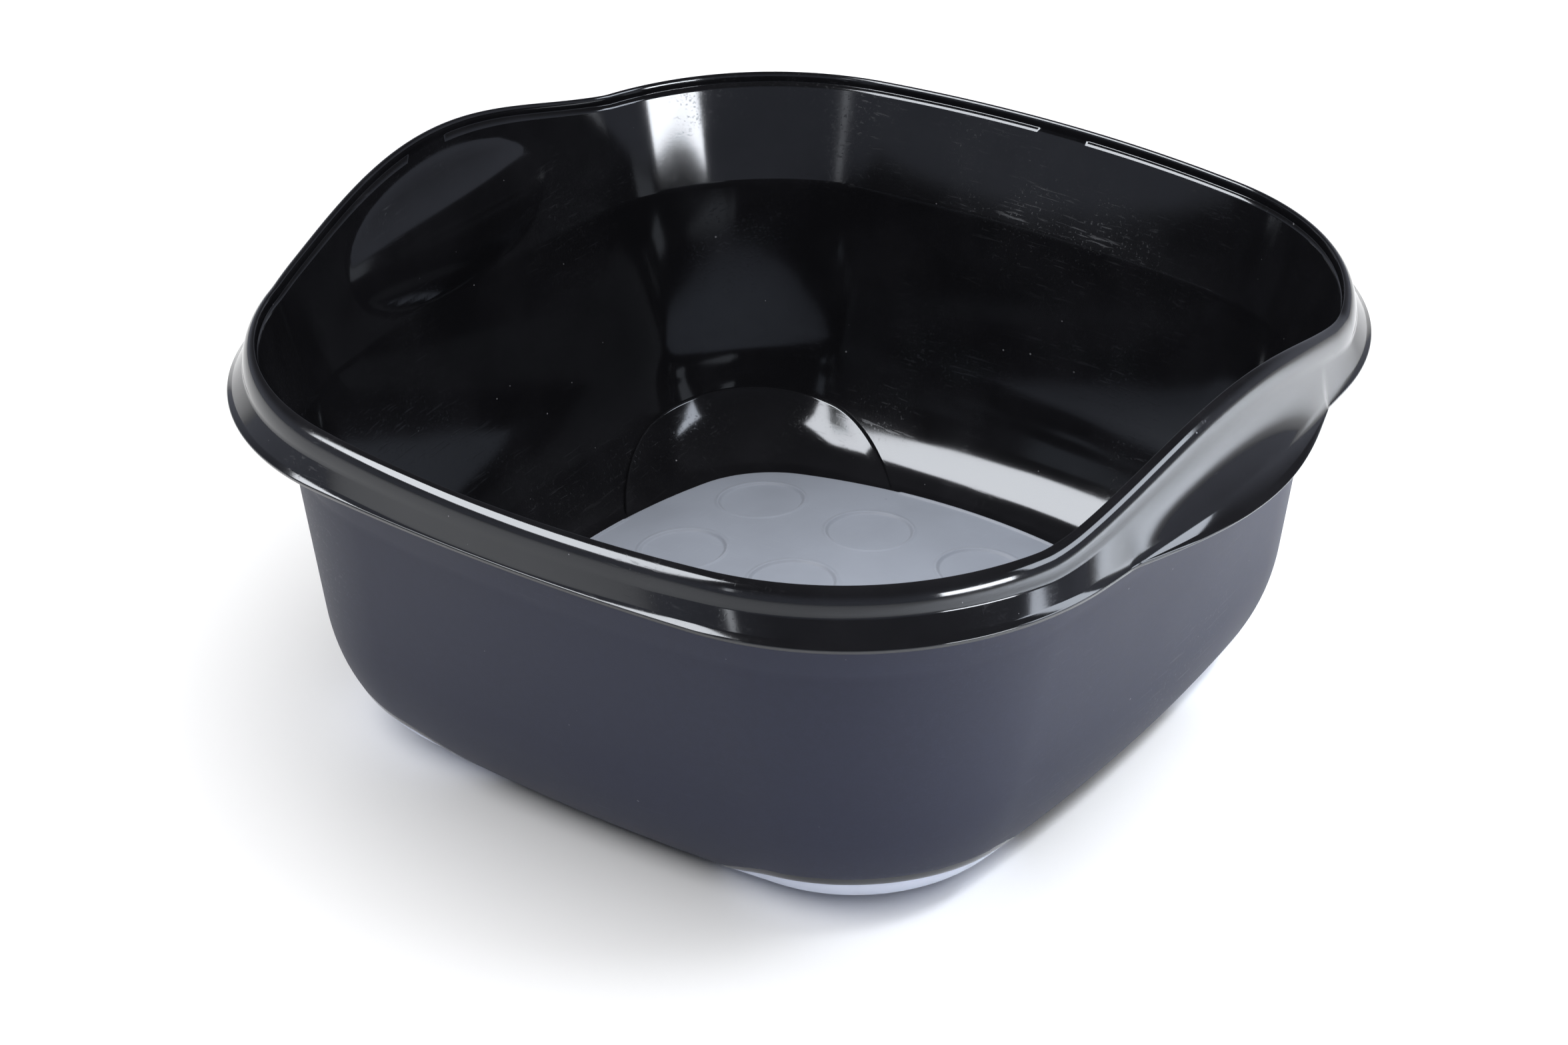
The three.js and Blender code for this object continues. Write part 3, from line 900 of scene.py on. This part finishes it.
class BasinShellSettings(bpy.types.PropertyGroup):
    around: IntProperty(name="Steps around", description="Points in each loop of the shell",
                        default=592, min=96, max=640)
    grip_rise: length("Grip rise", "How far the rim climbs at a grip", 0.020)
    grip_reach: length("Grip reach", "Half length of the climb", 0.104)
    grip_shape: FloatProperty(name="Grip shape", description="Below 1 is flatter on top",
                              default=0.69, min=0.3, max=2.0)
    grip_flare: length("Grip flare", "How far the skirt swings out at a grip", 0.0122)
    flare_reach: length("Flare reach", "Half length of the flare", 0.067)
    hem_step: length("Hem step", "Small step of the hem where the flare starts", 0.0009)
    bead_out: length("Hem bead", "How proud the bead around the hem is", 0.0003)
    bead_height: length("Hem bead height", "Height of the bead around the hem", 0.0013)
    recess_reach: length("Recess reach", "Half length of the finger recess", 0.062)
    recess_height: length("Recess height", "Half height of the finger recess", 0.026)
    recess_z: length("Recess middle", "Height of the recess's middle", 0.1475)
    recess_depth: length("Recess depth", "Depth of the finger recess", 0.005)
    patch_margin: length("Patch margin", "How far an inside patch passes its foot", 0.0014)
    gloss_colour: tint("Gloss colour", "Colour of the inside and the rim",
                       (0.0056, 0.0056, 0.0066))
    gloss_roughness: FloatProperty(name="Gloss roughness", description="Roughness of the inside",
                                   default=0.06, min=0.0, max=1.0)
    scuff_cover: FloatProperty(name="Scuff cover", description="Share of rubbed surface",
                               default=0.5, min=0.0, max=1.0)
    satin_colour: tint("Satin colour", "Colour of the outer wall", (0.0145, 0.0175, 0.036))
    satin_roughness: FloatProperty(name="Satin roughness", description="Roughness of the wall",
                                   default=0.50, min=0.0, max=1.0)


class BasinMatSettings(bpy.types.PropertyGroup):
    crown: length("Crown", "Height of the mat in the middle", 0.0178)
    crown_fall: FloatProperty(name="Crown fall", default=0.55, min=0.0,
                              description="Fall of the dome per distance squared, per metre")
    thickness: length("Thickness", "Thickness of the mat", 0.0016)
    disc_pitch: length("Disc pitch", "Distance between discs", 0.055)
    disc_radius: length("Disc radius", "Radius of a disc", 0.0185)
    disc_depth: length("Disc depth", "Step at a disc's edge", 0.0007)
    bead_height: length("Bead height", "Height of the edge bead", 0.001)
    bead_width: length("Bead width", "Width of the edge bead", 0.0026)
    colour: tint("Mat colour", "Colour of the mat", (0.215, 0.235, 0.278))


class BasinFeetSettings(bpy.types.PropertyGroup):
    centre: length("Foot centre", "Distance of a foot's centre from both axes", 0.0857)
    radius: length("Foot radius", "Radius of a foot's pocket", 0.0556)
    pocket: length("Pocket depth", "How deep a foot sits in the shell", 0.0023)
    edge: length("Edge radius", "Rounding of a foot's edge", 0.0008)
    colour: tint("Foot colour", "Colour of the feet", (0.52, 0.56, 0.67))


class BasinStageSettings(bpy.types.PropertyGroup):
    azimuth: FloatProperty(name="Azimuth", description="Turn of the camera from the front",
                           default=math.radians(36.11), subtype="ANGLE")
    elevation: FloatProperty(name="Elevation", description="Height angle of the camera",
                             default=math.radians(30.87), subtype="ANGLE")
    roll: FloatProperty(name="Roll", description="Turn about the line of sight",
                        default=math.radians(-1.0), subtype="ANGLE")
    distance: length("Distance", "From the aim to the camera", 1.6129)
    lens: FloatProperty(name="Lens", description="Focal length in millimetres", default=94.9)
    aim: FloatVectorProperty(name="Aim", description="Point the camera looks at", size=3,
                             default=(-0.01075, 0.0, 0.0639), subtype="TRANSLATION")
    floor_radius: length("Floor radius", "Radius of the floor", 4.0)
    floor_colour: tint("Floor colour", "Colour of the floor", (0.9, 0.9, 0.9))


SETTINGS = {"basin_shell": BasinShellSettings, "basin_mat": BasinMatSettings,
            "basin_feet": BasinFeetSettings, "basin_stage": BasinStageSettings}


# ---- operators --------------------------------------------------------------------------

class BASIN_OT_shell(bpy.types.Operator):
    """Build the black shell with its floor, wall, band, rim, grips and foot pockets"""
    bl_idname = "basin.shell"
    bl_label = "Build Shell"

    def execute(self, context):
        scene = context.scene
        gloss = gloss_material(scene.basin_shell)
        satin = satin_material(scene.basin_shell)
        shell = build_shell(scene.basin_shell, scene.basin_mat, scene.basin_feet, [gloss, satin])
        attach(shell, "root")
        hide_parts("bowl_shell")
        return {"FINISHED"}


class BASIN_OT_rounds(bpy.types.Operator):
    """Build the raised round patches inside and the thin lips around the feet outside"""
    bl_idname = "basin.rounds"
    bl_label = "Build Corner Rounds"

    def execute(self, context):
        scene = context.scene
        rounds = build_corner_rounds(scene.basin_shell, scene.basin_mat, scene.basin_feet,
                                     bpy.data.materials["shell_gloss"])
        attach(rounds, "root")
        return {"FINISHED"}


class BASIN_OT_mat(bpy.types.Operator):
    """Build the soft mat with its dished discs and raised edge bead"""
    bl_idname = "basin.mat"
    bl_label = "Build Mat"

    def execute(self, context):
        scene = context.scene
        look = soft_material("mat_rubber", scene.basin_mat.colour, 0.50, 1100.0, 0.10)
        soft_mat = build_mat(scene.basin_mat, scene.basin_feet, look)
        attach(soft_mat, "root")
        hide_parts("floor_mat")
        return {"FINISHED"}


class BASIN_OT_feet(bpy.types.Operator):
    """Build the four soft round corner feet"""
    bl_idname = "basin.feet"
    bl_label = "Build Feet"

    def execute(self, context):
        scene = context.scene
        look = soft_material("foot_rubber", scene.basin_feet.colour, 0.42, 1300.0, 0.05)
        for sx, sy in CORNERS:
            place = ("front_" if sy < 0 else "back_") + ("right" if sx > 0 else "left")
            foot = build_foot("soft_foot_" + place, sx, sy, scene.basin_mat,
                              scene.basin_feet, look)
            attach(foot, "root")
            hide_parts("foot_" + place)
        return {"FINISHED"}


class BASIN_OT_stage(bpy.types.Operator):
    """Build the pale floor, the soft lights, the room and the camera"""
    bl_idname = "basin.stage"
    bl_label = "Build Stage"

    def execute(self, context):
        stage = context.scene.basin_stage
        floor = build_floor(stage.floor_radius, floor_material(stage.floor_colour))
        build_world((0.06, 0.06, 0.065), (0.38, 0.40, 0.47))
        for lamp in CARDS:
            card(*lamp)
        for lamp in OVERHEADS:
            overhead(*lamp)
        context.scene.view_settings.view_transform = "Standard"
        build_camera(stage)
        return {"FINISHED"}


OPERATORS = (BASIN_OT_shell, BASIN_OT_rounds, BASIN_OT_mat, BASIN_OT_feet, BASIN_OT_stage)


class BASIN_PT_panel(bpy.types.Panel):
    """Sidebar panel with every build step and its settings"""
    bl_idname = "BASIN_PT_panel"
    bl_label = "Square Basin Bowl"
    bl_space_type = "VIEW_3D"
    bl_region_type = "UI"
    bl_category = "Basin"

    def draw(self, context):
        for name, group in SETTINGS.items():
            box = self.layout.box()
            settings = getattr(context.scene, name)
            for key in group.__annotations__:
                box.prop(settings, key)
        for operator in OPERATORS:
            self.layout.operator(operator.bl_idname)


def register():
    """Registers the settings, operators and panel."""
    for name, group in SETTINGS.items():
        bpy.utils.register_class(group)
        setattr(bpy.types.Scene, name, PointerProperty(type=group))
    for operator in OPERATORS:
        bpy.utils.register_class(operator)
    bpy.utils.register_class(BASIN_PT_panel)


def unregister():
    """Removes what register added."""
    bpy.utils.unregister_class(BASIN_PT_panel)
    for operator in reversed(OPERATORS):
        bpy.utils.unregister_class(operator)
    for name, group in reversed(SETTINGS.items()):
        delattr(bpy.types.Scene, name)
        bpy.utils.unregister_class(group)


def main():
    """Builds every piece and the stage."""
    register()
    bpy.ops.basin.shell()
    bpy.ops.basin.rounds()
    bpy.ops.basin.mat()
    bpy.ops.basin.feet()
    bpy.ops.basin.stage()


if __name__ == "__main__":
    main()
